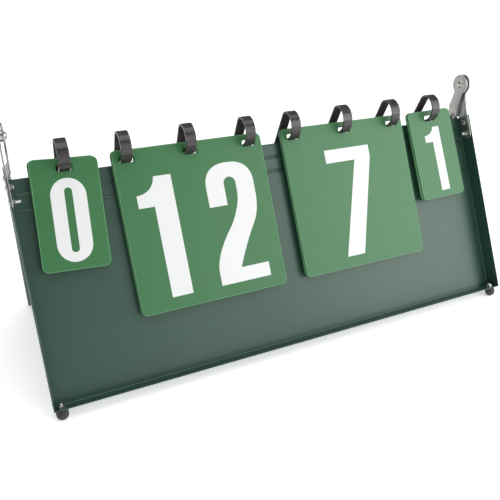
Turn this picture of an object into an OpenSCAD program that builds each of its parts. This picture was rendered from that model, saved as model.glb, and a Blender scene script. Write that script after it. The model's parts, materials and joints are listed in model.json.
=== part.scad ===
// Tabletop flip scoreboard: two shallow sheet-steel trays stand back to back as a frame and
// fold face to face into a case. Strap rings on the front tray carry four sets of cards.
// Origin: on the table, midway between the feet. +X to the reader's right, -Y to the reader.

/* [Trays] */
// Width of a tray over its side flanges
tray_w = 600; // [560:1:680]
// Height of a tray's panel along its slope, above the bottom flange
panel_h = 240; // [230:1:280]
// Depth of the flanges in front of the panel
flange_d = 20; // [18:0.5:24]
// Thickness of the sheet steel
sheet = 0.8; // [0.6:0.1:1.2]
// Outer radius of the folds
fold_r = 2; // [1.5:0.1:3]
// Distance of the upper pressed groove below the panel's top edge
groove_drop = 15.5; // [13:0.5:18]
// Distance between the two pressed grooves
groove_pitch = 17; // [14:0.5:20]
// Radius of the pressed grooves
groove_r = 2.4; // [2:0.1:3]
// Depth of the pressed grooves
press_depth = 1.3; // [0.8:0.1:1.5]
// Distance of the grooves' ends from the tray's side
groove_end = 7; // [6:0.5:20]

/* [Fold] */
// Distance of the fold axis past the panels' top edges, along the slope
pivot_rise = 42; // [40:0.5:50]
// Gap between the two rims when the case is closed
rim_gap = 0.4; // [0.2:0.1:1]
// Gap between the two panels' top edges when the frame stands
top_gap = 0.3; // [0.2:0.1:0.8]
// Diameter of the hinge arms' disc heads
disc_d = 26; // [24:0.5:28]
// Sideways running clearance of the rear arms' discs
disc_play = 0.1; // [0.05:0.05:0.2]
// Diameter of the boss pressed into the rear arms' discs
boss_d = 19; // [16:0.5:21]
// How far the boss stands out of its disc
boss_h = 0.4; // [0.2:0.1:0.6]
// Thickness of the hinge arms
arm_t = 1.6; // [1.2:0.1:2.2]
// Width of the hinge arms inside the tray
arm_w = 16; // [13:0.5:17]
// Length of a hinge arm inside the tray, below the panel's top edge
arm_in = 32; // [30:0.5:40]
// How far the arms sit in front of the middle of the side flanges
arm_forward = 0.8; // [0:0.1:1]
// Height of the arms' shoulders above the panel's top edge
shoulder_rise = 4; // [3:0.5:8]
// Width of the arms' neck where it meets the disc
neck_w = 16; // [12:0.5:18]
// Distance of the neck's end below the fold axis
neck_drop = 9; // [7:0.5:10]
// Length of the step that takes the rear arms inwards
joggle_l = 6; // [5:0.5:7]
// Height of the step's upper end above the panel's top edge
joggle_rise = 2; // [1.5:0.5:3]
// Thickness of the spacer between the two discs
spacer_t = 3; // [2:0.1:4]
// Diameter of the pivot rivets
rivet_d = 6; // [5:0.1:7]
// Radial running clearance of the pivot rivets
rivet_play = 0.06; // [0.03:0.01:0.1]
// How far a pivot rivet's outer head reaches past its shank
outer_rim = 2; // [1.5:0.1:2.5]
// Height of a pivot rivet's outer head
outer_head_h = 2.2; // [1.5:0.1:3]
// How far a pivot rivet's inner head reaches past its shank
inner_rim = 1.5; // [1:0.1:2.5]
// Height of a pivot rivet's inner head
inner_head_h = 2.8; // [2:0.1:3.5]

/* [Fasteners] */
// Diameter of the arm and foot screws
screw_d = 4; // [3:0.5:5]
// How much wider the holes for screws and fixed rivets are
pin_gap = 0.2; // [0.1:0.05:0.3]
// Diameter of the arm screws' pan heads
head_d = 7.6; // [6.5:0.1:9]
// Height of the pan heads
head_h = 2; // [1.6:0.1:2.6]
// Length of the arms of the heads' cross recess, from end to end
recess_l = 3.8; // [3:0.1:4.5]
// Width of the arms of the cross recess
recess_w = 0.9; // [0.6:0.1:1.2]
// Width of the nuts across their flats
nut_w = 7; // [5.5:0.1:8]
// Thickness of the nuts
nut_t = 3.2; // [2.4:0.1:4]
// Depth of the chamfer on the nuts' outer corners
nut_chamfer = 0.5; // [0.3:0.1:0.7]
// Distance of the upper arm screw below the panel's top edge
screw_drop = 9; // [7:0.5:10]
// Distance between the two screws of an arm
screw_pitch = 15; // [12:0.5:16]
// How far the upper screws' ends stand out of their nuts
upper_end = 1; // [0.5:0.5:3]
// How far the lower screws' ends stand out of their nuts
lower_end = 5; // [2:0.5:8]

/* [Feet] */
// Diameter of the rubber feet
foot_d = 13; // [11:0.5:16]
// Straight height of a foot before its round end
foot_stem = 5.5; // [3:0.5:8]
// Depth of the flat that the foot's end stands on
foot_flat = 0.4; // [0.2:0.1:0.8]
// Distance of the feet from the tray's side
foot_inset = 8; // [7.5:0.5:12]
// How far the feet's studs stand out of their nuts
stud_end = 1.5; // [0.5:0.5:3]

/* [Cards] */
// Gap between the front panel and the last spare card
pack_gap = 4.3; // [4.2:0.1:4.6]
// How much wider the gap behind the front card is than the gaps between the spare cards
front_gap = 0.3; // [0.2:0.1:0.5]
// Gap between a score card and the set card beside it
card_set_gap = 14; // [10:1:40]
// Height of the large score cards
score_h = 183; // [150:1:200]
// Width of the small set cards
set_w = 70; // [50:1:80]
// Height of the small set cards
set_h = 118; // [90:1:140]
// Thickness of a card
card_t = 0.6; // [0.4:0.1:0.8]
// Distance from one card to the next in a pack
card_pitch = 0.9; // [0.85:0.01:1]
// Sideways step from one card of a pack to the next
pack_fan = 0.3; // [0:0.05:0.4]
// How far the packs sit above their front card
pack_lift = 0.5; // [0.3:0.1:0.7]
// Number of spare cards behind each front card
pack_count = 5; // [2:1:5]
// Corner radius of the cards
card_r = 6; // [3:0.5:10]
// Gap between the two large cards
card_mid_gap = 28; // [10:1:40]
// Gap between the small cards and the tray's side
card_side_gap = 24; // [20:1:40]
// Width of the card's top margin above the ring hole
card_margin = 6.5; // [5:0.5:8]
// Width of the ring holes
hole_w = 17; // [17:0.5:22]
// Corner radius of the ring holes
hole_r = 2; // [1:0.5:3]
// How far the left score cards have slid to the right on their rings
slip_left = 1.5; // [-1.5:0.1:1.5]
// How far the right score cards have slid to the right on their rings
slip_right = 1.5; // [-1.5:0.1:1.5]
// Height of the ring holes
hole_h = 7.8; // [7:0.1:8.5]
// Distance of the outer ring holes' middle from a score card's side
ring_inset = 16; // [14:1:30]
// How far the left set card hangs askew, clockwise
tilt_left = 3.6; // [-3.6:0.1:3.6]
// How far the right set card hangs askew, clockwise
tilt_right = -1.4; // [-3.6:0.1:3.6]
// How far a set pack hangs askew, as a share of its front card
pack_tilt = 0.6; // [0:0.1:1]

/* [Rings] */
// Inner radius of the rings' front arc
ring_in_r = 15.3; // [14.5:0.1:16]
// Thickness of the ring straps
strap_t = 1.8; // [1.4:0.1:2]
// Width of the ring straps
strap_w = 12; // [9:0.5:12]
// Height of the ring centre past the panel's top edge, along the slope
ring_rise = 18.3; // [18:0.1:19]
// Length of the rings' straight rear leg
leg_l = 50; // [40:1:55]
// Depth of the grooves between the rings' facets
groove_depth = 0.6; // [0.3:0.1:0.8]
// Width of the grooves between the rings' facets
groove_w = 0.9; // [0.5:0.1:1.2]
// Clearance between a ring strap and the edges of a card's hole
hole_play = 0.75; // [0.7:0.05:0.9]
// Radius of the thick round end of the rear leg
leg_bead_r = 1.8; // [1.4:0.1:2.2]
// Diameter of the rivets that hold the rings
ring_rivet_d = 4; // [3:0.5:5]
// Diameter of these rivets' heads
ring_head_d = 7.2; // [6.5:0.1:8]
// Height of these rivets' heads
ring_head_h = 0.9; // [0.6:0.1:1.2]
// Clearance of the rear tray's notches round a ring
notch_play = 1.5; // [1:0.1:2.5]

/* [Hidden] */
$fn = 64;

LEFT = -1;
RIGHT = 1;
// Small overlap that makes two strokes of one solid run into each other
join = 0.02;
// How far a cutter reaches past what it cuts
past = 1;
paint = "#4a6154";
zinc = "#9a9c98";
card_green = "#5b8c60";
ring_black = "#3a3638";
rubber_black = "#3f3d3e";

// Fold axis in a tray's own frame: x along the tray, y behind the panel's face, z up the slope
pivot_s = panel_h + pivot_rise;
pivot_y = -(flange_d + rim_gap / 2);
lean = atan((sheet - pivot_y + top_gap / 2) / pivot_rise);
side_x = tray_w / 2;
wall_x = side_x - sheet;

foot_r = foot_d / 2;
foot_y = -flange_d / 2;
foot_x = side_x - foot_inset;
pivot_z = foot_r - foot_flat + (sheet + foot_stem) * cos(lean) + foot_y * sin(lean)
    + pivot_s * cos(lean) - pivot_y * sin(lean);

arm_y = -(sheet + flange_d) / 2 - arm_forward;
arm_bore = rivet_d + 2 * rivet_play;
joggle_high = panel_h + joggle_rise;
joggle_low = joggle_high - joggle_l;
rear_disc_x = wall_x - 2 * arm_t - spacer_t - disc_play;

// The front card's plane runs through the ring centre, so the card turns about it
card_y = -(pack_gap + pack_count * card_pitch + card_t / 2 + front_gap);
ring_s = panel_h + ring_rise;
strap_mid_r = ring_in_r + strap_t / 2;
facet_count = 14;
facet_phase = 20;
facet_r = (ring_in_r + strap_t) / cos(180 / facet_count);
hole_out_r = facet_r + hole_play;
hole_s = ring_s - hole_out_r + hole_h / 2;
card_top = hole_s + hole_h / 2 + card_margin;

apex_turn = 180 - lean;
leg_turn = 270 - 2 * lean;
leg_mid = hole_out_r - hole_h + hole_play + strap_t / 2;
bend_r = (leg_mid - strap_mid_r * sin(lean)) / (1 - sin(lean));
rivet_s = panel_h - groove_drop - groove_pitch / 2;
pad_low = rivet_s - strap_w / 2;
root_bend_r = 2.9;
root_run_y = -strap_t / 2 - root_bend_r;
bend_centre = ring_point(strap_mid_r - bend_r, apex_turn);
leg_start = bend_centre + bend_r * turn_dir(leg_turn);
leg_end = leg_start + leg_l * [sin(2 * lean), -cos(2 * lean)];
notch_r = norm(leg_end - [pivot_y, pivot_s]) + leg_bead_r + notch_play;
notch_s = pivot_s - sqrt(notch_r * notch_r - pivot_y * pivot_y);

score_w = (tray_w - card_mid_gap) / 2 - card_side_gap - set_w - card_set_gap;
ring_pitch = score_w / 2 - ring_inset;
set_x = side_x - card_side_gap - set_w / 2;
score_x = (card_mid_gap + score_w) / 2;
ring_x = [-set_x, -score_x - ring_pitch, -score_x, -score_x + ring_pitch,
    score_x - ring_pitch, score_x, score_x + ring_pitch, set_x];

// Directions and points round the ring centre: 0 is down through the hole, 90 to the front
function turn_dir(turn) = [-sin(turn), -cos(turn)];
function ring_point(r, turn) = [card_y, ring_s] + r * turn_dir(turn);

module place_front() {
    translate([0, 0, pivot_z]) rotate([-lean, 0, 0]) translate([0, -pivot_y, -pivot_s]) children();
}

module place_rear() {
    mirror([0, 1, 0]) place_front() children();
}

// Stands a sketch of (y, z) points up and draws it out along x
module along_x(start, length) {
    translate([start, 0, 0]) rotate([90, 0, 90]) linear_extrude(length) children();
}

// Turns a piece built along +z so that it points to the left or right
module towards(side) {
    rotate([0, side * 90, 0]) children();
}

// Low round head with its flat face on z = 0
module dome(d, h) {
    ball_r = (d * d / 4 + h * h) / (2 * h);
    rotate_extrude() intersection() {
        translate([0, h - ball_r]) circle(ball_r);
        square([d / 2, h]);
    }
}

// Section of the tray's outside or inside, across its width, open side to -y
module tray_plan(inset, r) {
    half = side_x - inset;
    back = sheet - inset;
    difference() {
        translate([-half, -flange_d - inset]) square([2 * half, flange_d + inset + back]);
        for (side = [LEFT, RIGHT]) {
            translate([side * (half - r), back - r]) difference() {
                translate([side > 0 ? 0 : -2 * r, 0]) square([2 * r, 2 * r]);
                circle(r);
            }
        }
    }
}

// Section of the tray's outside or inside, up its slope, with the fold at the bottom
module tray_side(inset, r) {
    back = sheet - inset;
    low = -sheet + inset;
    difference() {
        translate([-flange_d - inset, low]) square([flange_d + inset + back, panel_h - low + inset]);
        translate([back - r, low + r]) difference() {
            translate([0, -2 * r]) square([2 * r, 2 * r]);
            circle(r);
        }
    }
}

module tray_block(inset, r) {
    intersection() {
        translate([0, 0, -sheet + inset]) linear_extrude(panel_h + 2 * sheet) tray_plan(inset, r);
        along_x(-side_x + inset, 2 * (side_x - inset)) tray_side(inset, r);
    }
}

// Pressed grooves: a round channel in the panel's face, with its rib on the back
module grooves(r, end_gap) {
    groove_x = side_x - groove_end - end_gap;
    for (i = [0, 1]) {
        along_x(-groove_x, 2 * groove_x)
            translate([press_depth - groove_r, panel_h - groove_drop - i * groove_pitch]) circle(r);
    }
}

module groove_ribs() {
    intersection() {
        grooves(groove_r + sheet, 0);
        translate([-side_x, join, 0]) cube([2 * side_x, flange_d, panel_h]);
    }
}

module arm_hole_pins(d) {
    for (side = [LEFT, RIGHT], drop = [screw_drop, screw_drop + screw_pitch]) {
        translate([side * (side_x + past), arm_y, panel_h - drop]) towards(-side)
            cylinder(d = d, h = sheet + 2 * past);
    }
}

module foot_hole_pins(d) {
    for (side = [LEFT, RIGHT]) {
        translate([side * foot_x, foot_y, -sheet - past]) cylinder(d = d, h = sheet + 2 * past);
    }
}

module tray() {
    difference() {
        union() {
            difference() {
                tray_block(0, fold_r);
                tray_block(sheet, fold_r - sheet);
            }
            groove_ribs();
        }
        grooves(groove_r, sheet);
        arm_hole_pins(screw_d + pin_gap);
        foot_hole_pins(screw_d + pin_gap);
    }
}

module ring_rivet_pins(d) {
    for (x = ring_x) {
        translate([x, sheet + past, rivet_s]) rotate([90, 0, 0])
            cylinder(d = d, h = sheet + strap_t + 2 * past);
    }
}

module front_tray() {
    color(paint) place_front() difference() {
        tray();
        ring_rivet_pins(ring_rivet_d + pin_gap);
    }
}

// The rear tray has a notch for each ring's leg, which passes through as the case closes
module rear_tray() {
    notch_w = strap_w + 2 * notch_play;
    notch_depth = press_depth + sheet + 2 * past;
    round_s = notch_s + sqrt(notch_w * notch_w - strap_w * strap_w) / 2;
    color(paint) place_rear() difference() {
        tray();
        for (x = ring_x) {
            translate([x - notch_w / 2, -past, round_s]) cube([notch_w, notch_depth, panel_h]);
            translate([x, -past, round_s]) rotate([-90, 0, 0]) cylinder(d = notch_w, h = notch_depth);
        }
    }
}

// Side outline of a hinge arm: a strap in the tray, a tapered neck and a disc on the fold axis
module arm_outline() {
    half = arm_w / 2;
    low = panel_h - arm_in + half;
    high = panel_h + shoulder_rise;
    difference() {
        union() {
            translate([pivot_y, pivot_s]) circle(d = disc_d);
            translate([arm_y - half, low]) square([arm_w, high - low]);
            translate([arm_y, low]) circle(half);
            polygon([[arm_y - half, high], [arm_y + half, high],
                [pivot_y + neck_w / 2, pivot_s - neck_drop], [pivot_y - neck_w / 2, pivot_s - neck_drop]]);
        }
        for (drop = [screw_drop, screw_drop + screw_pitch]) {
            translate([arm_y, panel_h - drop]) circle(d = screw_d + pin_gap);
        }
    }
}

module front_arm(side) {
    x = wall_x - arm_t / 2;
    color(zinc) place_front() difference() {
        along_x(side * x - arm_t / 2, arm_t) arm_outline();
        translate([side * x, pivot_y, pivot_s]) towards(side)
            cylinder(d = rivet_d + pin_gap, h = arm_t + 2 * past, center = true);
    }
}

// The rear arm steps inwards above the tray, so that its disc lies beside the front arm's
module rear_arm(side) {
    in_x = rear_disc_x;
    out_x = wall_x - arm_t;
    top = pivot_s + disc_d;
    low = panel_h - arm_in - past;
    step = [[out_x, low], [out_x + arm_t, low], [out_x + arm_t, joggle_low], [in_x + arm_t, joggle_high],
        [in_x + arm_t, top], [in_x, top], [in_x, joggle_high], [out_x, joggle_low]];
    color(zinc) place_rear() difference() {
        union() {
            intersection() {
                along_x(side > 0 ? in_x - past : -side_x, side_x - in_x + past) arm_outline();
                translate([0, past, 0]) rotate([90, 0, 0]) linear_extrude(flange_d + disc_d)
                    polygon([for (p = step) [side * p[0], p[1]]]);
            }
            translate([side * (in_x + join), pivot_y, pivot_s]) towards(-side)
                cylinder(d1 = boss_d, d2 = boss_d - boss_h, h = boss_h + join);
        }
        translate([side * in_x, pivot_y, pivot_s]) towards(side)
            cylinder(d = arm_bore, h = 2 * (arm_t + past), center = true);
    }
}

// The rivet is fast in the front arm and runs in the rear arm
module pivot_rivet(side) {
    inner = rear_disc_x - boss_h - disc_play;
    color(zinc) place_front() translate([0, pivot_y, pivot_s]) {
        translate([side * inner, 0, 0]) towards(side) cylinder(d = rivet_d, h = wall_x - inner);
        translate([side * wall_x, 0, 0]) towards(side) dome(rivet_d + 2 * outer_rim, outer_head_h);
        translate([side * inner, 0, 0]) towards(-side) dome(rivet_d + 2 * inner_rim, inner_head_h);
    }
}

module pivot_spacer(side) {
    color(zinc) place_front() translate([side * (wall_x - arm_t), pivot_y, pivot_s]) towards(-side)
        difference() {
            cylinder(d = rivet_d * 2, h = spacer_t);
            translate([0, 0, -past]) cylinder(d = rivet_d + pin_gap, h = spacer_t + 2 * past);
        }
}

// Screws through the side flange and the arm; the lower ones stand further out of their nuts
module arm_screws() {
    for (side = [LEFT, RIGHT], lower = [0, 1]) {
        through = sheet + arm_t + nut_t + (lower > 0 ? lower_end : upper_end);
        translate([side * side_x, arm_y, panel_h - screw_drop - lower * screw_pitch]) {
            towards(side) screw_head();
            towards(-side) cylinder(d = screw_d, h = through);
        }
    }
}

// Pan head with a cross recess
module screw_head() {
    difference() {
        dome(head_d, head_h);
        for (turn = [0, 90]) {
            rotate([0, 0, turn]) translate([0, 0, head_h]) cube([recess_l, recess_w, head_h], center = true);
        }
    }
}

// Hexagon nut with its outer corners chamfered
module nut() {
    corner_r = nut_w / 2 / cos(30);
    chamfer_r = corner_r - nut_chamfer / tan(30);
    difference() {
        intersection() {
            cylinder(r = corner_r, h = nut_t, $fn = 6);
            rotate_extrude() polygon([[0, 0], [corner_r + join, 0], [corner_r + join, nut_t - nut_chamfer],
                [chamfer_r, nut_t], [0, nut_t]]);
        }
        translate([0, 0, -past]) cylinder(d = screw_d, h = nut_t + 2 * past);
    }
}

module arm_nuts() {
    for (side = [LEFT, RIGHT], drop = [screw_drop, screw_drop + screw_pitch]) {
        translate([side * (wall_x - arm_t), arm_y, panel_h - drop]) towards(-side) nut();
    }
}

// Rubber foot with a round end, moulded on a stud
module foot(side) {
    translate([side * foot_x, foot_y, -sheet]) mirror([0, 0, 1]) difference() {
        union() {
            cylinder(d = foot_d, h = foot_stem);
            translate([0, 0, foot_stem]) sphere(foot_r);
        }
        translate([0, 0, -foot_d]) cylinder(d = 2 * foot_d, h = foot_d);
        translate([0, 0, -past]) cylinder(d = screw_d, h = foot_stem + past);
    }
}

module table_cut() {
    difference() {
        children();
        translate([-tray_w, -tray_w, -2 * foot_d]) cube([2 * tray_w, 2 * tray_w, 2 * foot_d]);
    }
}

module front_foot(side) {
    color(rubber_black) table_cut() place_front() foot(side);
}

module rear_foot(side) {
    color(rubber_black) table_cut() place_rear() foot(side);
}

module foot_studs() {
    for (side = [LEFT, RIGHT]) {
        translate([side * foot_x, foot_y, -sheet - foot_stem])
            cylinder(d = screw_d, h = foot_stem + sheet + nut_t + stud_end);
    }
}

module foot_nuts() {
    for (side = [LEFT, RIGHT]) {
        translate([side * foot_x, foot_y, 0]) nut();
    }
}

// Pie slice from one turn to another, at most 180 apart, as a cutter for arcs
module slice(turn_from, turn_to, r) {
    mid = (turn_from + turn_to) / 2;
    polygon([[0, 0], r * turn_dir(turn_from), 1.5 * r * turn_dir((turn_from + mid) / 2),
        1.5 * r * turn_dir(mid), 1.5 * r * turn_dir((turn_to + mid) / 2), r * turn_dir(turn_to)]);
}

// The front arc has flat facets outside, with a groove at each corner
module ring_front_arc() {
    translate([card_y, ring_s]) difference() {
        intersection() {
            rotate(-90 - facet_phase) circle(facet_r, $fn = facet_count);
            slice(0, apex_turn + 0.2, 3 * facet_r);
        }
        circle(ring_in_r);
        for (turn = [facet_phase : 360 / facet_count : apex_turn]) {
            rotate(-90 - turn) translate([facet_r - groove_depth, -groove_w / 2])
                square([groove_depth + past, groove_w]);
        }
    }
}

module strap_arc(centre, r, turn_from, turn_to) {
    translate(centre) intersection() {
        difference() {
            circle(r + strap_t / 2);
            circle(r - strap_t / 2);
        }
        slice(turn_from, turn_to, 3 * (r + strap_t));
    }
}

// Side outline of a ring: foot pad on the panel, bend out through the cards' holes,
// front arc, rear bend and straight rear leg with a thick round end
module ring_outline() {
    run_s = ring_s - strap_mid_r;
    root_s = run_s - root_bend_r;
    ring_front_arc();
    strap_arc(bend_centre, bend_r, apex_turn, leg_turn);
    translate(leg_start) rotate(2 * lean - 90)
        translate([-join, -strap_t / 2]) square([leg_l, strap_t]);
    translate(leg_end) circle(leg_bead_r);
    translate([card_y - join, run_s - strap_t / 2]) square([root_run_y - card_y + 2 * join, strap_t]);
    strap_arc([root_run_y, root_s], root_bend_r, 180, 270);
    translate([-strap_t, pad_low]) square([strap_t, root_s - pad_low + join]);
}

module ring(i) {
    x = ring_x[i];
    color(ring_black) place_front() difference() {
        along_x(x - strap_w / 2, strap_w) ring_outline();
        ring_rivet_pins(ring_rivet_d + pin_gap);
    }
}

module ring_rivets() {
    color(zinc) place_front() for (x = ring_x) {
        translate([x, sheet, rivet_s]) {
            rotate([90, 0, 0]) cylinder(d = ring_rivet_d, h = sheet + strap_t);
            rotate([-90, 0, 0]) dome(ring_head_d, ring_head_h);
            translate([0, -sheet - strap_t, 0]) rotate([90, 0, 0]) dome(ring_head_d, ring_head_h);
        }
    }
}

// One card with round corners and its ring holes, its front face at y
module card(w, h, hole_xs, y) {
    translate([0, y + card_t, 0]) rotate([90, 0, 0]) linear_extrude(card_t) difference() {
        translate([0, card_top - h / 2]) rounded_rectangle(w, h, card_r);
        for (x = hole_xs) {
            translate([x, hole_s]) rounded_rectangle(hole_w, hole_h, hole_r);
        }
    }
}

module rounded_rectangle(w, h, r) {
    square([w - 2 * r, h], center = true);
    square([w, h - 2 * r], center = true);
    for (x = [-1, 1], y = [-1, 1]) {
        translate([x * (w / 2 - r), y * (h / 2 - r)]) circle(r);
    }
}

// Turns a card about its ring hole, in its own plane
module askew(tilt) {
    translate([0, 0, hole_s]) rotate([0, tilt, 0]) translate([0, 0, -hole_s]) children();
}

module front_card(x, w, h, hole_xs, tilt) {
    color(card_green) place_front() translate([x, 0, 0]) askew(tilt)
        card(w, h, hole_xs, card_y - card_t / 2);
}

module card_pack(x, w, h, hole_xs, tilt) {
    color(card_green) place_front() for (i = [1 : pack_count]) {
        translate([x - i * pack_fan, 0, pack_lift]) askew(tilt * pack_tilt)
            card(w, h, hole_xs, -pack_gap - (i - 1) * card_pitch - card_t);
    }
}

function set_tilt(side) = side > 0 ? tilt_right : tilt_left;
function score_slip(side) = side > 0 ? slip_right : slip_left;

module set_card(side) {
    front_card(side * set_x, set_w, set_h, [0], set_tilt(side));
}

module score_card(side) {
    front_card(side * score_x + score_slip(side), score_w, score_h, [-ring_pitch, 0, ring_pitch], 0);
}

module set_pack(side) {
    card_pack(side * set_x, set_w, set_h, [0], set_tilt(side));
}

module score_pack(side) {
    card_pack(side * score_x + score_slip(side), score_w, score_h, [-ring_pitch, 0, ring_pitch], 0);
}

front_tray();
rear_tray();
front_arm(LEFT);  // front_arm_left
front_arm(RIGHT);  // front_arm_right
rear_arm(LEFT);  // rear_arm_left
rear_arm(RIGHT);  // rear_arm_right
pivot_rivet(LEFT);  // pivot_rivet_left
pivot_rivet(RIGHT);  // pivot_rivet_right
pivot_spacer(LEFT);  // pivot_spacer_left
pivot_spacer(RIGHT);  // pivot_spacer_right
color(zinc) place_front() arm_screws();  // front_arm_screws
color(zinc) place_front() arm_nuts();  // front_arm_nuts
color(zinc) place_rear() arm_screws();  // rear_arm_screws
color(zinc) place_rear() arm_nuts();  // rear_arm_nuts
front_foot(LEFT);  // front_foot_left
front_foot(RIGHT);  // front_foot_right
rear_foot(LEFT);  // rear_foot_left
rear_foot(RIGHT);  // rear_foot_right
color(zinc) place_front() foot_studs();  // front_foot_studs
color(zinc) place_front() foot_nuts();  // front_foot_nuts
color(zinc) place_rear() foot_studs();  // rear_foot_studs
color(zinc) place_rear() foot_nuts();  // rear_foot_nuts
ring(0);  // ring_1
ring(1);  // ring_2
ring(2);  // ring_3
ring(3);  // ring_4
ring(4);  // ring_5
ring(5);  // ring_6
ring(6);  // ring_7
ring(7);  // ring_8
ring_rivets();
set_card(LEFT);  // set_card_left
score_card(LEFT);  // score_card_left
score_card(RIGHT);  // score_card_right
set_card(RIGHT);  // set_card_right
set_pack(LEFT);  // set_pack_left
score_pack(LEFT);  // score_pack_left
score_pack(RIGHT);  // score_pack_right
set_pack(RIGHT);  // set_pack_right
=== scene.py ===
"""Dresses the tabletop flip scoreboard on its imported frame: paint, print, metal, rubber, light."""

from __future__ import annotations

import json
import logging
import math
from dataclasses import dataclass, field
from enum import Enum
from typing import Iterable, Sequence

import bmesh
import bpy
from mathutils import Euler, Matrix, Vector

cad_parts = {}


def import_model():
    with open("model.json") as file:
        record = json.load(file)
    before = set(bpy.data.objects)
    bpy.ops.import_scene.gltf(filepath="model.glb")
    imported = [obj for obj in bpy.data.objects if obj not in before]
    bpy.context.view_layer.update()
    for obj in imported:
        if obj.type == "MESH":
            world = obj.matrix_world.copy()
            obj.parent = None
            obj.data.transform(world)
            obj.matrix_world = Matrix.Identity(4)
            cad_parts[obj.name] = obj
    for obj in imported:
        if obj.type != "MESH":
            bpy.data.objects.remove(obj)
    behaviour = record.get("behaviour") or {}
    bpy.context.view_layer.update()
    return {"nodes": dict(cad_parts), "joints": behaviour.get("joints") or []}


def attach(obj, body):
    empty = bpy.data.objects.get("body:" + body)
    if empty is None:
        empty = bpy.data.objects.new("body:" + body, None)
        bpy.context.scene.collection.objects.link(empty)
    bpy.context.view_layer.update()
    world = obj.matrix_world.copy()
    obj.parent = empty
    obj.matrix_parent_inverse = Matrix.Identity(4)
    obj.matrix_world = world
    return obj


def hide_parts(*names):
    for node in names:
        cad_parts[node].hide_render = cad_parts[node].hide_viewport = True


LOG = logging.getLogger("flip_scoreboard")
MM = 0.001
Point = tuple[float, float]
Place = tuple[float, float, float]


class Side(Enum):
    """Which end of the case a piece is on, as the reader sees it."""

    LEFT = -1
    RIGHT = 1


class Tray(Enum):
    """Which of the two trays a piece is on; the value mirrors the front tray's place."""

    FRONT = 1
    REAR = -1

    @property
    def word(self) -> str:
        """The tray's word in the names of pieces."""
        return self.name.lower()

    @property
    def body(self) -> str:
        """The CAD body that moves with the tray."""
        return self.word + "_frame"


# Colours and node trees


def srgb(hex_code: str) -> tuple[float, float, float, float]:
    """Turns an sRGB hex colour into linear values.

    Args:
        hex_code: A colour such as "#46594f".

    Returns:
        Linear red, green and blue, with an alpha of one.
    """
    parts = [int(hex_code[i : i + 2], 16) / 255 for i in (1, 3, 5)]
    linear = [p / 12.92 if p <= 0.04045 else ((p + 0.055) / 1.055) ** 2.4 for p in parts]
    return (linear[0], linear[1], linear[2], 1.0)


def add_node(tree: bpy.types.NodeTree, kind: str, settings: dict | None = None,
             links: dict | None = None) -> bpy.types.Node:
    """Adds one shader node.

    Args:
        tree: The material's node tree.
        kind: The node's type name, such as "ShaderNodeBump".
        settings: Attribute or input names with their values.
        links: Input names with the output sockets that feed them.

    Returns:
        The new node.
    """
    node = tree.nodes.new(kind)
    for name, value in (settings or {}).items():
        if name in node.inputs:
            node.inputs[name].default_value = value
        else:
            setattr(node, name, value)
    for name, socket in (links or {}).items():
        tree.links.new(socket, node.inputs[name])
    return node


# The Mix node's sockets for colours; their names are shared with its other kinds
MIX_SHARE, MIX_FIRST, MIX_SECOND, MIX_RESULT = 0, 6, 7, 2


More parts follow.
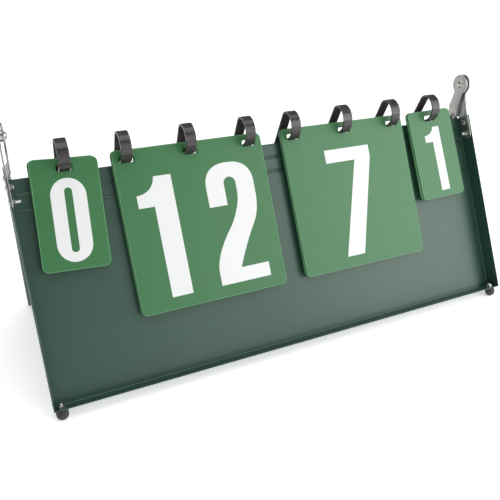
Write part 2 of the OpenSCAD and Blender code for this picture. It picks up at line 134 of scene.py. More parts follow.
@dataclass(frozen=True)
class Finish:
    """A surface finish: one Principled shader with a fine relief and a mottled tone."""

    name: str
    colour: str
    slot: str
    roughness: float
    metallic: float = 0.0
    ior: float = 1.5
    coat: float = 0.0
    coat_roughness: float = 0.1
    sheen: float = 0.0
    # Light that the surface gives off by itself
    glow: float = 0.0
    # Second colour, reached in soft patches, the patches' size in millimetres and finer layers
    mottle_colour: str = ""
    mottle_mm: float = 40.0
    mottle_detail: float = 3.0
    # Grain of the relief in millimetres, its height in millimetres, and its stretch by axis
    grain_mm: float = 1.0
    relief_mm: float = 0.0
    stretch: Sequence[float] = (1.0, 1.0, 1.0)
    # Spread of the roughness, from patch to patch
    rough_spread: float = 0.0
    # Finer layers on the noises of the relief and the roughness
    fine_detail: float = 2.0

    def make(self) -> bpy.types.Material:
        """Builds the material once.

        Returns:
            The material, new or as built before.
        """
        done = bpy.data.materials.get(self.name)
        if done is not None:
            return done
        material = bpy.data.materials.new(self.name)
        material.use_nodes = True
        tree = material.node_tree
        tree.nodes.clear()
        shader = add_node(tree, "ShaderNodeBsdfPrincipled", {
            "Base Color": srgb(self.colour), "Roughness": self.roughness,
            "Metallic": self.metallic, "IOR": self.ior, "Coat Weight": self.coat,
            "Coat Roughness": self.coat_roughness, "Sheen Weight": self.sheen,
            "Emission Color": srgb(self.colour), "Emission Strength": self.glow})
        add_node(tree, "ShaderNodeOutputMaterial", links={"Surface": shader.outputs["BSDF"]})
        place = add_node(tree, "ShaderNodeTexCoord").outputs["Object"]
        if self.mottle_colour:
            self.add_mottle(tree, shader, place)
        if self.rough_spread:
            self.add_rough_spread(tree, shader, place)
        if self.relief_mm:
            self.add_relief(tree, shader, place)
        material.diffuse_color = srgb(self.colour)
        return material

    def noise(self, tree: bpy.types.NodeTree, place: bpy.types.NodeSocket, size_mm: float,
              detail: float) -> bpy.types.Node:
        """Adds a noise of one real size.

        Args:
            tree: The material's node tree.
            place: The coordinates in metres.
            size_mm: The size of one lump of the noise.
            detail: How many finer layers lie on it.

        Returns:
            The noise node.
        """
        turned = add_node(tree, "ShaderNodeMapping", {"Scale": tuple(self.stretch)},
                          {"Vector": place})
        return add_node(tree, "ShaderNodeTexNoise",
                        {"Scale": 1 / (size_mm * MM), "Detail": detail},
                        {"Vector": turned.outputs["Vector"]})

    def add_mottle(self, tree: bpy.types.NodeTree, shader: bpy.types.Node,
                   place: bpy.types.NodeSocket) -> None:
        """Lets the base colour drift softly towards the second colour.

        Args:
            tree: The material's node tree.
            shader: The Principled shader.
            place: The coordinates in metres.
        """
        noise = self.noise(tree, place, self.mottle_mm, self.mottle_detail)
        mix = add_node(tree, "ShaderNodeMix", {"data_type": "RGBA"})
        mix.inputs[MIX_FIRST].default_value = srgb(self.colour)
        mix.inputs[MIX_SECOND].default_value = srgb(self.mottle_colour)
        tree.links.new(noise.outputs["Fac"], mix.inputs[MIX_SHARE])
        tree.links.new(mix.outputs[MIX_RESULT], shader.inputs["Base Color"])

    def add_rough_spread(self, tree: bpy.types.NodeTree, shader: bpy.types.Node,
                         place: bpy.types.NodeSocket) -> None:
        """Lets the roughness drift by the spread.

        Args:
            tree: The material's node tree.
            shader: The Principled shader.
            place: The coordinates in metres.
        """
        noise = self.noise(tree, place, self.mottle_mm, self.fine_detail)
        spread = add_node(tree, "ShaderNodeMapRange",
                          {"To Min": self.roughness - self.rough_spread,
                           "To Max": self.roughness + self.rough_spread},
                          {"Value": noise.outputs["Fac"]})
        tree.links.new(spread.outputs["Result"], shader.inputs["Roughness"])

    def add_relief(self, tree: bpy.types.NodeTree, shader: bpy.types.Node,
                   place: bpy.types.NodeSocket) -> None:
        """Adds the fine relief as a bump of its real height.

        Args:
            tree: The material's node tree.
            shader: The Principled shader.
            place: The coordinates in metres.
        """
        noise = self.noise(tree, place, self.grain_mm, self.fine_detail)
        bump = add_node(tree, "ShaderNodeBump", {"Distance": self.relief_mm * MM, "Strength": 1.0},
                        {"Height": noise.outputs["Fac"]})
        tree.links.new(bump.outputs["Normal"], shader.inputs["Normal"])


# Powder coat: a satin skin with a faint orange-peel relief, drawn at 1.6 mm a lump
POWDER_COAT = Finish("dark_green_powder_coat", "#244236", "paint", 0.36, mottle_colour="#27473a",
                     mottle_mm=60, grain_mm=1.6, relief_mm=0.012, rough_spread=0.03)
# Rolled zinc-plated steel: long faint rolling marks and a soft sheen
ZINC_PLATE = Finish("zinc_plated_steel", "#a9aaa7", "zinc", 0.4, metallic=1.0,
                    mottle_colour="#8d8f8c", mottle_mm=5, grain_mm=0.5, relief_mm=0.006,
                    stretch=(1.0, 3.0, 0.6), rough_spread=0.07)
# Turned and pressed small steel: brighter, with less grain than the sheet
BRIGHT_STEEL = Finish("bright_zinc_fasteners", "#c4c5c3", "zinc", 0.26, metallic=1.0,
                      mottle_colour="#a3a4a1", mottle_mm=2.5, rough_spread=0.05)
# Extruded polypropylene sheet: satin face with a barely seen leather grain of 0.7 mm
CARD_SHEET = Finish("green_polypropylene_sheet", "#286134", "card", 0.42, mottle_colour="#2b6638",
                    mottle_mm=35, grain_mm=0.7, relief_mm=0.006, rough_spread=0.03)
# Cut edge of the same sheet, matt, and painted a little paler than the face: a painted highlight for
# light catching the cards' edges
CARD_EDGE_HIGHLIGHT = Finish("card_edge_painted_highlight", "#4f8257", "card", 0.6)
# Screen ink: flat white with a dry matt surface
WHITE_INK = Finish("white_screen_ink", "#d2d4d3", "card", 0.55, mottle_colour="#ced0cf",
                   mottle_mm=12)
# Moulded nylon strap: brownish black with a softly polished skin
BLACK_NYLON = Finish("polished_black_nylon", "#252122", "ring", 0.3, coat=0.15,
                     coat_roughness=0.12, mottle_colour="#2c2829", mottle_mm=6, rough_spread=0.04)
# Moulded rubber: dark, matt and dusty on its skin
BLACK_RUBBER = Finish("moulded_black_rubber", "#222122", "rubber", 0.68, sheen=0.1,
                      mottle_colour="#2b2a2b", mottle_mm=4, grain_mm=0.6, relief_mm=0.02)
# Seamless studio paper, lit through from below: plain and nearly white
STUDIO_PAPER = Finish("white_studio_paper", "#f7f7f7", "", 0.9, glow=0.48)


# The case's own frame


@dataclass
class CaseFrame:
    """Sizes that place a tray's own coordinates in the row frame, in millimetres."""

    tray_w: float = 600.0
    panel_h: float = 240.0
    flange_d: float = 20.0
    sheet: float = 0.8
    pivot_rise: float = 42.0
    rim_gap: float = 0.4
    top_gap: float = 0.3
    pivot_z: float = field(init=False, default=0.0)

    def __post_init__(self) -> None:
        """Works out the fold axis and the lean of the trays."""
        self.pivot_s = self.panel_h + self.pivot_rise
        self.pivot_y = -(self.flange_d + self.rim_gap / 2)
        self.lean = math.atan((self.sheet - self.pivot_y + self.top_gap / 2) / self.pivot_rise)

    def read_pivot(self, joints: Iterable[dict]) -> None:
        """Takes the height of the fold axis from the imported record.

        Args:
            joints: The record's joints, with the fold joint among them.
        """
        for joint in joints:
            if joint["name"] == "tray_fold":
                self.pivot_z = joint["pos_m"][2] / MM

    def matrix(self, tray: Tray) -> Matrix:
        """Gives the matrix from a tray's own millimetres to the row frame's metres.

        Args:
            tray: The front or the rear tray.

        Returns:
            A 4 by 4 matrix; the rear tray's is mirrored.
        """
        move = Matrix.Translation((0, -self.pivot_y, -self.pivot_s))
        lean = Matrix.Rotation(-self.lean, 4, "X")
        lift = Matrix.Translation((0, 0, self.pivot_z))
        flip = Matrix.Diagonal((1, tray.value, 1, 1))
        return Matrix.Scale(MM, 4) @ flip @ lift @ lean @ move


# Helpers for meshes


def new_piece(name: str, mesh_maker: bmesh.types.BMesh, finish: Finish,
              body: str) -> bpy.types.Object:
    """Turns a bmesh into a piece of the scene that rides on a body.

    Args:
        name: The piece's name.
        mesh_maker: The finished bmesh, in the row frame; it is freed.
        finish: The finish it wears.
        body: The CAD body it moves with.

    Returns:
        The new object.
    """
    mesh = bpy.data.meshes.new(name)
    bmesh.ops.recalc_face_normals(mesh_maker, faces=mesh_maker.faces)
    mesh_maker.to_mesh(mesh)
    mesh_maker.free()
    piece = bpy.data.objects.new(name, mesh)
    bpy.context.scene.collection.objects.link(piece)
    mesh.materials.append(finish.make())
    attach(piece, body)
    LOG.info("%s: %d faces on %s", name, len(mesh.polygons), body)
    return piece


def extrude_all(maker: bmesh.types.BMesh, step: Place) -> None:
    """Gives flat faces a thickness.

    Args:
        maker: The bmesh whose faces are all extruded.
        step: How far, and which way.
    """
    made = bmesh.ops.extrude_face_region(maker, geom=list(maker.faces))
    bmesh.ops.translate(maker, vec=step,
                        verts=[g for g in made["geom"] if isinstance(g, bmesh.types.BMVert)])


def smooth_by_angle(piece: bpy.types.Object, degrees: float) -> None:
    """Shades a piece smooth and keeps its sharper edges.

    Args:
        piece: The object to shade.
        degrees: The angle past which an edge stays sharp.
    """
    piece.data.polygons.foreach_set("use_smooth", [True] * len(piece.data.polygons))
    piece.data.set_sharp_from_angle(angle=math.radians(degrees))


def dress(node: bpy.types.Object, finish: Finish) -> None:
    """Gives a CAD node a finish.

    Args:
        node: The CAD node's object.
        finish: The finish it wears.
    """
    node.data.materials.clear()
    node.data.materials.append(finish.make())
    LOG.info("%s wears %s", node.name, finish.name)


def curve_through(start: Point, control: Point, end: Point, steps: int = 10) -> list[Point]:
    """Gives the points of a quadratic curve, without its start point.

    Args:
        start: Where the curve starts.
        control: The point it bends towards.
        end: Where it ends.
        steps: How many points it gets.

    Returns:
        The points, in order, with the end point last.
    """
    made = []
    for i in range(1, steps + 1):
        t = i / steps
        made.append(tuple((1 - t) ** 2 * a + 2 * t * (1 - t) * b + t * t * c
                          for a, b, c in zip(start, control, end)))
    return made


def oval_arc(centre: Point, radii: Point, start: float, end: float, steps: int = 16,
             fullness: float = 2.0) -> list[Point]:
    """Gives points on part of an upright oval.

    Args:
        centre: The oval's centre.
        radii: Its half width and half height.
        start: First angle in degrees, anticlockwise from the right.
        end: Last angle in degrees.
        steps: How many equal parts the stretch has.
        fullness: 2 for a true oval, more for fuller shoulders.

    Returns:
        The points, both ends included.
    """
    def full(share: float) -> float:
        """Pushes a sine or cosine outwards by the fullness."""
        return math.copysign(abs(share) ** (2 / fullness), share)

    turns = [math.radians(start + (end - start) * i / steps) for i in range(steps + 1)]
    return [(centre[0] + radii[0] * full(math.cos(a)), centre[1] + radii[1] * full(math.sin(a)))
            for a in turns]


# Numerals


@dataclass(frozen=True)
class FlaggedOne:
    """A one with a curved flag to the left of its stem, in millimetres."""

    width: float
    # The flag: how far it stands out from the stem, and its two heights below the top
    reach: float
    flag_top: float
    flag_low: float
    # Where the flag's curve leaves the flat top, right of the stem's left edge
    crown_in: float
    # The point that the curve bends towards, right of that edge and above the flag's top
    bend: Point

    def outline(self, x: float, top: float, bottom: float) -> list[Point]:
        """Gives the one's outline.

        Args:
            x: The stem's left edge.
            top: The height of its top.
            bottom: The height of its foot.

        Returns:
            The outline's points, from the top right corner on.
        """
        tip = (x - self.reach, top - self.flag_top)
        crown = (x + self.crown_in, top)
        bend = (x + self.bend[0], tip[1] + self.bend[1])
        return [(x + self.width, top), crown, *curve_through(crown, bend, tip),
                (tip[0], top - self.flag_low), (x, top - self.flag_low), (x, bottom),
                (x + self.width, bottom)]


@dataclass(frozen=True)
class CondensedTwo:
    """A two with a full bowl, in millimetres.

    Its bends are given as a place right of its left edge and a drop below its crest.
    """

    width: float = 62.6
    # How far the bowl rises past the top of the flat numerals
    crest_rise: float = 4.0
    # The bowl: its left side, its half height and the straight stretch of its right side
    bowl_left: float = 3.0
    bowl_h: float = 27.0
    bowl_side: float = 10.0
    bowl_steps: int = 24
    bowl_fullness: float = 2.4
    terminal_drop: float = 49.3
    # The counter: its middle, half width, drop from the crest, half height and straight stretch
    counter_mid: float = 32.5
    counter_half: float = 7.4
    counter_drop: float = 17.0
    counter_h: float = 7.6
    counter_side: float = 10.0
    # The neck's outer side from the foot up: a bend, the waist, a bend
    outer_bends: Sequence[Point] = ((38.6, 98.0), (53.6, 75.0), (63.1, 60.0))
    # The neck's inner side from the counter down: a bend, the knee, a bend
    inner_bends: Sequence[Point] = ((39.9, 52.0), (25.0, 74.0), (1.0, 103.0))
    foot_in: float = 27.5
    heel_rise: float = 1.0

    def outline(self, x: float, top: float, bottom: float, bar: float) -> list[Point]:
        """Gives the two's outline.

        Args:
            x: Its left edge.
            top: The height of the flat numerals' top.
            bottom: The height of its foot.
            bar: The height of its foot's bar.

        Returns:
            The outline's points, from the lower left corner on.
        """
        crest, right, left = top + self.crest_rise, x + self.width, x + self.bowl_left
        foot = (x + self.foot_in, bottom + bar)
        outline = [(x, bottom), (right, bottom), (right, bottom + bar), foot]
        low_bend, waist, high_bend = [(x + across, crest - drop)
                                      for across, drop in self.outer_bends]
        outline += curve_through(foot, low_bend, waist)
        outline += curve_through(waist, high_bend, (right, crest - self.bowl_h - self.bowl_side))
        outline += oval_arc(((left + right) / 2, crest - self.bowl_h),
                            ((right - left) / 2, self.bowl_h), 0, 180, self.bowl_steps,
                            self.bowl_fullness)
        mid, half = x + self.counter_mid, self.counter_half
        counter_y = crest - self.counter_drop - self.counter_h
        outline += [(left, crest - self.terminal_drop), (mid - half, crest - self.terminal_drop)]
        outline += oval_arc((mid, counter_y), (half, self.counter_h), 180, 0)
        inner = (mid + half, counter_y - self.counter_side)
        high_bend, knee, low_bend = [(x + across, crest - drop)
                                     for across, drop in self.inner_bends]
        outline += [inner, *curve_through(inner, high_bend, knee)]
        return outline + curve_through(knee, low_bend, (x, bottom + bar + self.heel_rise))


@dataclass(frozen=True)
class SetNumerals:
    """Condensed numerals of the small set cards, in millimetres from the ring hole."""

    top: float = -10.6
    bottom: float = -99.4
    half_w: float = 18.4
    end_h: float = 19.0
    counter_half_w: float = 4.1
    counter_inset: float = 10.2
    # The one is a little shorter than the zero, at its top and at its foot
    one_top_in: float = 1.6
    one_foot_in: float = 0.6
    flagged: FlaggedOne = FlaggedOne(13.5, 11.8, 10.8, 19.8, 3.2, (1.0, 0.8))

    def zero(self, x: float) -> list[list[Point]]:
        """Gives the outlines of a zero.

        Args:
            x: Its middle.

        Returns:
            The outside, then the counter.
        """
        return [self.stadium(x, self.half_w, self.top, self.bottom, self.end_h),
                self.stadium(x, self.counter_half_w, self.top - self.counter_inset,
                             self.bottom + self.counter_inset, self.counter_half_w)]

    def stadium(self, x: float, half: float, top: float, bottom: float,
                end_h: float) -> list[Point]:
        """Gives an upright bar with oval ends.

        Args:
            x: Its middle.
            half: Its half width.
            top: The height of its top.
            bottom: The height of its foot.
            end_h: The height of each end.

        Returns:
            The outline's points.
        """
        upper = oval_arc((x, top - end_h), (half, end_h), 0, 180)
        lower = oval_arc((x, bottom + end_h), (half, end_h), 180, 360)
        return upper + lower

    def one(self, x: float) -> list[list[Point]]:
        """Gives the outline of a one.

        Args:
            x: Its stem's left edge.

        Returns:
            The one outline, in a list.
        """
        return [self.flagged.outline(x, self.top - self.one_top_in,
                                     self.bottom + self.one_foot_in)]


@dataclass(frozen=True)
class ScoreNumerals:
    """Condensed numerals of the large score cards, in millimetres from the middle ring hole."""

    top: float = -22.6
    bottom: float = -158.6
    bar: float = 16.4
    flagged: FlaggedOne = FlaggedOne(24.4, 18.0, 19.2, 33.2, 4.4, (1.5, 1.5))
    bowled: CondensedTwo = CondensedTwo()
    seven_w: float = 65.2
    # The seven's stem: its width under the bar, its width at its foot, and the foot's place
    seven_stem_top: float = 23.6
    seven_stem_foot: float = 25.4
    seven_foot_in: float = 6.7
    # How far above the bar's lower edge the stem's right side turns
    seven_turn: float = 1.0

    def one(self, x: float) -> list[list[Point]]:
        """Gives the outline of a one.

        Args:
            x: Its stem's left edge.

        Returns:
            The one outline, in a list.
        """
        return [self.flagged.outline(x, self.top, self.bottom)]

    def two(self, x: float) -> list[list[Point]]:
        """Gives the outline of a two.

        Args:
            x: Its left edge.

        Returns:
            The one outline, in a list.
        """
        return [self.bowled.outline(x, self.top, self.bottom, self.bar)]

    def seven(self, x: float) -> list[list[Point]]:
        """Gives the outline of a seven.

        Args:
            x: Its left edge.

        Returns:
            The one outline, in a list.
        """
        right, low_bar, foot = x + self.seven_w, self.top - self.bar, x + self.seven_foot_in
        return [[(x, self.top), (right, self.top), (right, low_bar + self.seven_turn),
                 (foot + self.seven_stem_foot, self.bottom), (foot, self.bottom),
                 (right - self.seven_stem_top, low_bar), (x, low_bar)]]


@dataclass
class Card:
    """One front card: its CAD node, where it hangs, its size and the outlines of its numerals."""

    node: str
    hole_x: float
    tilt: float
    size: Point
    numerals: list[list[list[Point]]]

    @property
    def body(self) -> str:
        """The CAD body that turns with the card."""
        return self.node + "_body"


@dataclass
class CardSets:
    """The four sets of cards, with white numerals and a painted highlight along the cut edges and
    borders of the front ones.
    """

    case: CaseFrame
    hole_s: float = 243.91
    front_y: float = -9.7
    ink_t: float = 0.05
    set_x: float = 241.0
    score_x: float = 103.0
    slip: float = 1.5
    tilt_left: float = 3.6
    tilt_right: float = -1.4
    small_size: Point = (70.0, 118.0)
    large_size: Point = (178.0, 183.0)
    above_hole: float = 10.4
    corner_r: float = 6.0
    corner_steps: int = 8
    # Width of the flat band of painted edge highlight along each front card's border
    highlight_w: float = 0.8
    # Where the numerals start, from the middle of their cards; the zero's place is its middle
    zero_x: float = 0.6
    twelve_x: Point = (-52.6, 7.2)
    seven_x: float = -34.2
    one_x: float = -1.8
    # Outline points that are nearer than this are one point
    join: float = 0.001
    # A face is a cut edge when its normal has less than this share of the sheet's own
    edge_cosine: float = 0.5

    def cards(self) -> list[Card]:
        """Lists the front cards from left to right."""
        small, large = SetNumerals(), ScoreNumerals()
        one_x, two_x = self.twelve_x
        return [
            Card("set_card_left", -self.set_x, self.tilt_left, self.small_size,
                 [small.zero(self.zero_x)]),
            Card("score_card_left", self.slip - self.score_x, 0.0, self.large_size,
                 [large.one(one_x), large.two(two_x)]),
            Card("score_card_right", self.slip + self.score_x, 0.0, self.large_size,
                 [large.seven(self.seven_x)]),
            Card("set_card_right", self.set_x, self.tilt_right, self.small_size,
                 [small.one(self.one_x)]),
        ]

    def lay_on_card(self, card: Card, maker: bmesh.types.BMesh) -> None:
        """Gives flat faces the skin's thickness and lays them on a card.

        Args:
            card: The card that carries them.
            maker: Faces about the card's ring hole.
        """
        extrude_all(maker, (0, -self.ink_t, 0))
        place = (self.case.matrix(Tray.FRONT)
                 @ Matrix.Translation((card.hole_x, self.front_y, self.hole_s))
                 @ Matrix.Rotation(math.radians(card.tilt), 4, "Y"))
        bmesh.ops.transform(maker, matrix=place, verts=maker.verts)

    def print_numeral(self, card: Card, outlines: list[list[Point]], name: str) -> None:
        """Lays one numeral on its card as a thin skin of ink.

        Args:
            card: The card that carries it.
            outlines: The numeral's outside, and its counter if it has one.
            name: The new piece's name.
        """
        maker = bmesh.new()
        for outline in outlines:
            ring = [maker.verts.new((x, 0, z)) for x, z in outline]
            for a, b in zip(ring, ring[1:] + ring[:1]):
                maker.edges.new((a, b))
        bmesh.ops.remove_doubles(maker, verts=maker.verts, dist=self.join)
        bmesh.ops.triangle_fill(maker, use_beauty=True, use_dissolve=False,
                                edges=list(maker.edges))
        self.lay_on_card(card, maker)
        new_piece(name, maker, WHITE_INK, card.body)

    def paint_border_highlight(self, card: Card) -> None:
        """Adds a narrow flat band along a card's border, painted paler as a painted edge highlight.

        Args:
            card: The card that gets it.
        """
        (w, h), r = card.size, self.corner_r
        across, high, low = w / 2 - r, self.above_hole - r, self.above_hole - h + r
        corners = ((across, high, 0), (-across, high, 90), (-across, low, 180), (across, low, 270))
        maker = bmesh.new()
        outline = [point for x, z, turn in corners
                   for point in oval_arc((x, z), (r, r), turn, turn + 90, self.corner_steps)]
        whole = maker.faces.new([maker.verts.new((x, 0, z)) for x, z in outline])
        whole.normal_update()
        bmesh.ops.inset_region(maker, faces=[whole], thickness=self.highlight_w, use_boundary=True,
                               use_even_offset=True)
        bmesh.ops.delete(maker, geom=[whole], context="FACES_ONLY")
        self.lay_on_card(card, maker)
        # The border band wears the paler edge tone, which is a painted edge highlight
        new_piece(card.node + "_border", maker, CARD_EDGE_HIGHLIGHT, card.body)

    def dress_with_edge_highlight(self, node: bpy.types.Object) -> None:
        """Dresses a card node as sheet, with its cut edges painted paler as a painted edge
        highlight.

        Args:
            node: The CAD node's object.
        """
        dress(node, CARD_SHEET)
        # The paler edge material is a painted highlight on the card's cut edge faces
        node.data.materials.append(CARD_EDGE_HIGHLIGHT.make())
        face = self.case.matrix(Tray.FRONT).to_3x3() @ Vector((0, 1, 0))
        face.normalize()
        for polygon in node.data.polygons:
            if abs(polygon.normal.dot(face)) < self.edge_cosine:
                polygon.material_index = 1

    def build(self, nodes: dict[str, bpy.types.Object]) -> None:
        """Dresses every card node, adds the painted highlight borders and prints the numerals.

        Args:
            nodes: The CAD nodes by name.
        """
        for name, node in nodes.items():
            if "_card_" in name or "_pack_" in name:
                self.dress_with_edge_highlight(node)
        printed = 0
        for card in self.cards():
            self.paint_border_highlight(card)
            for outlines in card.numerals:
                printed += 1
                self.print_numeral(card, outlines, f"numeral_{printed}_ink")


@dataclass
class Metalwork:
    """Trays and fasteners, dressed as painted sheet and bright steel."""

    sheet_nodes: Sequence[str] = ("front_tray", "rear_tray")
    fastener_ends: tuple[str, ...] = ("screws", "nuts", "studs", "rivets")
    # Angles past which an edge stays sharp, in degrees
    sheet_sharp: float = 25.0
    fastener_sharp: float = 30.0

    def build(self, nodes: dict[str, bpy.types.Object]) -> None:
        """Dresses the metal nodes by what they are.

        Args:
            nodes: The CAD nodes by name.
        """
        for name, node in nodes.items():
            if name in self.sheet_nodes:
                dress(node, POWDER_COAT)
                smooth_by_angle(node, self.sheet_sharp)
            elif name.endswith(self.fastener_ends) or name.startswith("pivot_"):
                dress(node, BRIGHT_STEEL)
                smooth_by_angle(node, self.fastener_sharp)


@dataclass
class HingeArms:
    """The four steel arms, in millimetres: a strap in the tray, a waisted neck, a disc."""

    case: CaseFrame
    thick: float = 1.6
    strap_w: float = 16.0
    strap_in: float = 32.0
    strap_y: float = -11.2
    # The neck's narrow width under the disc
    waist_w: float = 9.6
    # Where the neck's outer side bends, as a share of the way from its foot to the disc
    waist_share: float = 0.32
    # Height past the panel's top edge where the neck starts
    neck_start: float = -3.0
    # The neck's edge towards the other arm flares above the panel: points as place and height
    flare: Sequence[Point] = ((-3.2, 0.75), (-0.25, 2.2), (0.6, 3.6), (-6.4, 20.0))
    disc_r: float = 13.0
    # Half the angle of the disc that the neck and its fillet take up
    neck_turn: float = 48.0
    # Where the fillet ends on the neck and where it aims in the disc, as shares of its radius
    fillet_end: float = 1.15
    fillet_aim: float = 0.9
    # The rear arms' slanting step: its heights past the panel's top edge, and its depth
    step_low: float = -2.0
    step_high: float = 8.0
    step_in: float = 4.7
    boss_r: float = 9.5
    boss_h: float = 0.4
    edge_round: float = 0.25
    # How many parts the outline's curves and the boss have
    strap_steps: int = 24
    disc_steps: int = 48
    fillet_steps: int = 6
    boss_steps: int = 64
    # A face is one of the plate's two flat sides when its normal has more than this share of X
    flat_cosine: float = 0.9
    # A corner this near to a cut's plane counts as lying on it
    cut_near: float = 0.0001
    sharp: float = 35.0

    def outline(self) -> list[Point]:
        """Gives the arm's outline.

        Returns:
            Points behind the panel's face and up its slope, from the strap's left side on.
        """
        half, top = self.strap_w / 2, self.case.panel_h
        disc = Vector((self.case.pivot_y, self.case.pivot_s))
        base = Vector((self.strap_y, top + self.neck_start))
        up = (disc - base).normalized()
        out = Vector((up.y, -up.x))
        narrow = out * self.waist_w / 2

        def on_disc(turn: float) -> Point:
            """Gives the point of the disc at a turn from the neck's direction."""
            angle = math.radians(turn)
            return tuple(disc + self.disc_r * (out * math.sin(angle) - up * math.cos(angle)))

        neck_top = disc - up * self.disc_r * self.fillet_end
        root = disc - up * self.disc_r * self.fillet_aim
        waist = base.lerp(neck_top, self.waist_share)
        low = top - self.strap_in + half
        points = oval_arc((self.strap_y, low), (half, half), 180, 360, self.strap_steps)
        points.append((self.strap_y + half, base.y))
        points += [(y, top + rise) for y, rise in self.flare]
        sweep = (360 - 2 * self.neck_turn) / self.disc_steps
        points += [on_disc(self.neck_turn + sweep * i) for i in range(self.disc_steps + 1)]
        points += curve_through(points[-1], tuple(root - narrow), tuple(neck_top - narrow),
                                self.fillet_steps)
        points += curve_through(tuple(neck_top - narrow), tuple(waist - narrow),
                                (self.strap_y - half, base.y))
        return points

    def plate(self, side: Side) -> bmesh.types.BMesh:
        """Makes an arm as a flat plate against the tray's side flange, with eased edges.

        Args:
            side: The end of the case.

        Returns:
            The plate in the tray's own millimetres.
        """
        outer = self.case.tray_w / 2 - self.case.sheet
        maker = bmesh.new()
        maker.faces.new([maker.verts.new((side.value * outer, y, z)) for y, z in self.outline()])
        extrude_all(maker, (-side.value * self.thick, 0, 0))
        maker.normal_update()
        rims = [e for e in maker.edges
                if len({abs(f.normal.x) > self.flat_cosine for f in e.link_faces}) == 2]
        bmesh.ops.bevel(maker, geom=rims, offset=self.edge_round, segments=2, profile=0.5,
                        affect="EDGES", material=-1)
        return maker

    def step_inwards(self, maker: bmesh.types.BMesh, side: Side) -> None:
        """Bends a rear arm inwards, so that its disc lies beside the front arm's.

        Args:
            maker: The flat arm, in the tray's own millimetres.
            side: The end of the case.
        """
        low = self.case.panel_h + self.step_low
        high = self.case.panel_h + self.step_high
        for level in (low, high):
            bmesh.ops.bisect_plane(maker, geom=[*maker.verts, *maker.edges, *maker.faces],
                                   plane_co=(0, 0, level), plane_no=(0, 0, 1),
                                   dist=self.cut_near)
        for vert in maker.verts:
            share = min(max((vert.co.z - low) / (high - low), 0.0), 1.0)
            vert.co.x -= side.value * self.step_in * share

    def add_boss(self, maker: bmesh.types.BMesh, side: Side) -> None:
        """Adds the shallow round boss pressed into a rear arm's disc.

        Args:
            maker: The stepped arm, in the tray's own millimetres.
            side: The end of the case.
        """
        face_x = self.case.tray_w / 2 - self.case.sheet - self.thick - self.step_in
        inwards = Matrix.Rotation(math.radians(-90 * side.value), 4, "Y")
        at = Matrix.Translation((side.value * (face_x - self.boss_h / 2), self.case.pivot_y,
                                 self.case.pivot_s))
        bmesh.ops.create_cone(maker, cap_ends=True, segments=self.boss_steps,
                              radius1=self.boss_r, radius2=self.boss_r - self.boss_h,
                              depth=self.boss_h, matrix=at @ inwards)

    def build(self) -> None:
        """Makes the four arms in place of the plainer CAD ones."""
        for tray in Tray:
            for side in Side:
                node = f"{tray.word}_arm_{side.name.lower()}"
                maker = self.plate(side)
                if tray is Tray.REAR:
                    self.step_inwards(maker, side)
                    self.add_boss(maker, side)
                bmesh.ops.transform(maker, matrix=self.case.matrix(tray), verts=maker.verts)
                piece = new_piece(node + "_plate", maker, ZINC_PLATE, tray.body)
                smooth_by_angle(piece, self.sharp)
                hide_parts(node)


@dataclass
class ScrewThreads:
    """Threads on the ends of the screws and studs that stand out of their nuts, in millimetres."""

    case: CaseFrame
    # A right-handed M4 thread, whose crest stands a little proud of the plain shank to show
    core_r: float = 1.98
    crest_r: float = 2.15
    pitch: float = 0.7
    foot_share: float = 0.8
    steps_a_turn: int = 18
    # The arm screws: how far below the panel's top edge each is, and how far its end stands out
    arm_ends: Sequence[Point] = ((9.0, 1.0), (24.0, 5.0))
    arm_y: float = -11.2
    arm_t: float = 1.6
    nut_t: float = 3.2
    # The feet's studs
    stud_at: Point = (292.0, -10.0)
    stud_end: float = 1.5
    sharp: float = 40.0

    def ridge(self, length: float, hand: int) -> bmesh.types.BMesh:
        """Winds one ridge upwards from z = 0.

        Args:
            length: The height that it fills.
            hand: 1 for a right-handed thread, -1 for its mirror image.

        Returns:
            A closed ridge about the Z axis.
        """
        foot = self.foot_share * self.pitch
        turns = (length - foot) / self.pitch
        maker = bmesh.new()
        corners = ((self.core_r, 0, 0), (self.core_r, 0, foot), (self.crest_r, 0, foot / 2))
        section = maker.faces.new([maker.verts.new(corner) for corner in corners])
        bmesh.ops.spin(maker, geom=[*section.verts, *section.edges, section], cent=(0, 0, 0),
                       axis=(0, 0, 1), dvec=(0, 0, self.pitch / self.steps_a_turn),
                       angle=hand * math.tau * turns, steps=round(turns * self.steps_a_turn))
        return maker

    def places(self) -> list[tuple[Matrix, float]]:
        """Lists where each end starts, in a tray's own frame, with its length."""
        inner_x = self.case.tray_w / 2 - self.case.sheet - self.arm_t - self.nut_t
        stud_x, stud_y = self.stud_at
        made = []
        for side in Side:
            inwards = Matrix.Rotation(math.radians(-90 * side.value), 4, "Y")
            for drop, length in self.arm_ends:
                at = (side.value * inner_x, self.arm_y, self.case.panel_h - drop)
                made.append((Matrix.Translation(at) @ inwards, length))
            at = (side.value * stud_x, stud_y, self.nut_t)
            made.append((Matrix.Translation(at), self.stud_end))
        return made

    def build(self) -> None:
        """Adds one piece with all the threads of a tray, for both trays."""
        for tray in Tray:
            maker = bmesh.new()
            for place, length in self.places():
                ridge = self.ridge(length, tray.value)
                bmesh.ops.transform(ridge, matrix=self.case.matrix(tray) @ place,
                                    verts=ridge.verts)
                wound = bpy.data.meshes.new("wound_ridge")
                ridge.to_mesh(wound)
                ridge.free()
                maker.from_mesh(wound)
                bpy.data.meshes.remove(wound)
            piece = new_piece(tray.word + "_screw_threads", maker, BRIGHT_STEEL, tray.body)
            smooth_by_angle(piece, self.sharp)


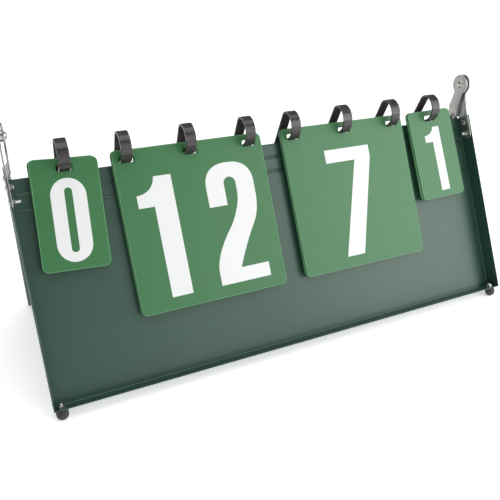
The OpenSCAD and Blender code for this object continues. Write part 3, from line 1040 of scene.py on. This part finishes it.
@dataclass
class RingsAndFeet:
    """Black strap rings and rubber feet."""

    # Angles past which an edge stays sharp, in degrees
    ring_sharp: float = 32.0
    foot_sharp: float = 35.0

    def build(self, nodes: dict[str, bpy.types.Object]) -> None:
        """Dresses the rings in polished nylon and the feet in rubber.

        Args:
            nodes: The CAD nodes by name.
        """
        for name, node in nodes.items():
            if name.startswith("ring_") and name != "ring_rivets":
                dress(node, BLACK_NYLON)
                smooth_by_angle(node, self.ring_sharp)
            elif "_foot_" in name and not name.endswith(("studs", "nuts")):
                dress(node, BLACK_RUBBER)
                smooth_by_angle(node, self.foot_sharp)


# Studio


def turned_to(way: Vector) -> Euler:
    """Gives the turn that points a light or a camera one way.

    Args:
        way: The direction to look.

    Returns:
        The turn.
    """
    return way.to_track_quat("-Z", "Y").to_euler()


@dataclass(frozen=True)
class Softbox:
    """One square soft light: its place and the point it faces, its edge in metres, its watts."""

    name: str
    at: Place
    aim: Place
    size: float
    power: float


@dataclass
class Studio:
    """Floor, light and camera of the product picture."""

    camera_at: Place = (-0.31186, -0.62382, 0.43375)
    # Turn to the right of straight ahead, and tilt down, in degrees
    camera_turn: float = 24.85
    camera_tilt: float = 27.08
    lens_mm: float = 42.44
    sensor_mm: float = 36.0
    nearest: float = 0.01
    # The paper: its radius, the height of its raised rim, and how far it lies below the feet
    sweep_r: float = 12.0
    sweep_h: float = 3.2
    sweep_steps: int = 96
    sweep_drop: float = 0.0002
    surround_colour: str = "#ffffff"
    surround_strength: float = 0.25
    # The overhead light: watts for a square metre, the degrees it fills, the way it shines
    overhead_strength: float = 1.4
    overhead_spread: float = 55.0
    overhead_aim: Place = (-0.05, 0.1, -1.0)
    softboxes: Sequence[Softbox] = (
        Softbox("right_softbox", (1.05, -0.75, 0.65), (0.2, 0, 0.12), 1.1, 11.5),
        Softbox("middle_softbox", (0.5, -1.3, 0.65), (0.05, 0, 0.12), 1.0, 4.4),
    )

    def add_camera(self) -> None:
        """Adds the camera at the photograph's angle."""
        data = bpy.data.cameras.new("photo_camera")
        data.lens = self.lens_mm
        data.sensor_width = self.sensor_mm
        data.clip_start = self.nearest
        camera = bpy.data.objects.new("photo_camera", data)
        turn, tilt = math.radians(self.camera_turn), math.radians(self.camera_tilt)
        ahead = Vector((math.sin(turn) * math.cos(tilt), math.cos(turn) * math.cos(tilt),
                        -math.sin(tilt)))
        camera.location = self.camera_at
        camera.rotation_euler = turned_to(ahead)
        bpy.context.scene.collection.objects.link(camera)
        bpy.context.scene.camera = camera

    def add_floor(self) -> None:
        """Adds the pale paper floor, a wide round sheet whose rim turns up."""
        maker = bmesh.new()
        bmesh.ops.create_circle(maker, cap_ends=True, radius=self.sweep_r,
                                segments=self.sweep_steps)
        rim = [e for e in maker.edges if e.is_boundary]
        raised = bmesh.ops.extrude_edge_only(maker, edges=rim)
        bmesh.ops.translate(maker, vec=(0, 0, self.sweep_h),
                            verts=[g for g in raised["geom"] if isinstance(g, bmesh.types.BMVert)])
        mesh = bpy.data.meshes.new("studio_floor")
        maker.to_mesh(mesh)
        maker.free()
        mesh.materials.append(STUDIO_PAPER.make())
        floor = bpy.data.objects.new("studio_floor", mesh)
        floor.location.z = -self.sweep_drop
        bpy.context.scene.collection.objects.link(floor)

    def add_lamp(self, data: bpy.types.Light, way: Vector, at: Place = (0.0, 0.0, 0.0)) -> None:
        """Adds a lamp to the stage.

        Args:
            data: The lamp's light, whose name it takes.
            way: The direction in which it shines.
            at: Its place in metres.
        """
        lamp = bpy.data.objects.new(data.name, data)
        lamp.location = at
        lamp.rotation_euler = turned_to(way)
        bpy.context.scene.collection.objects.link(lamp)

    def add_softbox(self, box: Softbox) -> None:
        """Adds one square soft light.

        Args:
            box: What it is and where it stands.
        """
        data = bpy.data.lights.new(box.name, "AREA")
        data.size = box.size
        data.energy = box.power
        self.add_lamp(data, Vector(box.aim) - Vector(box.at), box.at)

    def add_overhead(self) -> None:
        """Adds the broad overhead light that whitens the paper."""
        data = bpy.data.lights.new("overhead_light", "SUN")
        data.energy = self.overhead_strength
        data.angle = math.radians(self.overhead_spread)
        self.add_lamp(data, Vector(self.overhead_aim))

    def add_surround(self) -> None:
        """Fills the surround with an even pale light."""
        world = bpy.data.worlds.new("studio_surround")
        world.use_nodes = True
        tree = world.node_tree
        tree.nodes.clear()
        light = add_node(tree, "ShaderNodeBackground", {"Color": srgb(self.surround_colour),
                                                        "Strength": self.surround_strength})
        add_node(tree, "ShaderNodeOutputWorld", links={"Surface": light.outputs["Background"]})
        bpy.context.scene.world = world

    def build(self) -> None:
        """Sets up the whole studio, with plain product-picture tones."""
        bpy.context.scene.view_settings.view_transform = "Standard"
        self.add_camera()
        self.add_floor()
        self.add_surround()
        self.add_overhead()
        for box in self.softboxes:
            self.add_softbox(box)


def main() -> None:
    """Dresses the frame and reports each piece."""
    logging.basicConfig(level=logging.INFO, format="%(message)s")
    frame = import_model()
    case = CaseFrame()
    case.read_pivot(frame["joints"])
    nodes = frame["nodes"]
    Metalwork().build(nodes)
    HingeArms(case).build()
    ScrewThreads(case).build()
    RingsAndFeet().build(nodes)
    CardSets(case).build(nodes)
    Studio().build()


if __name__ == "__main__":
    main()
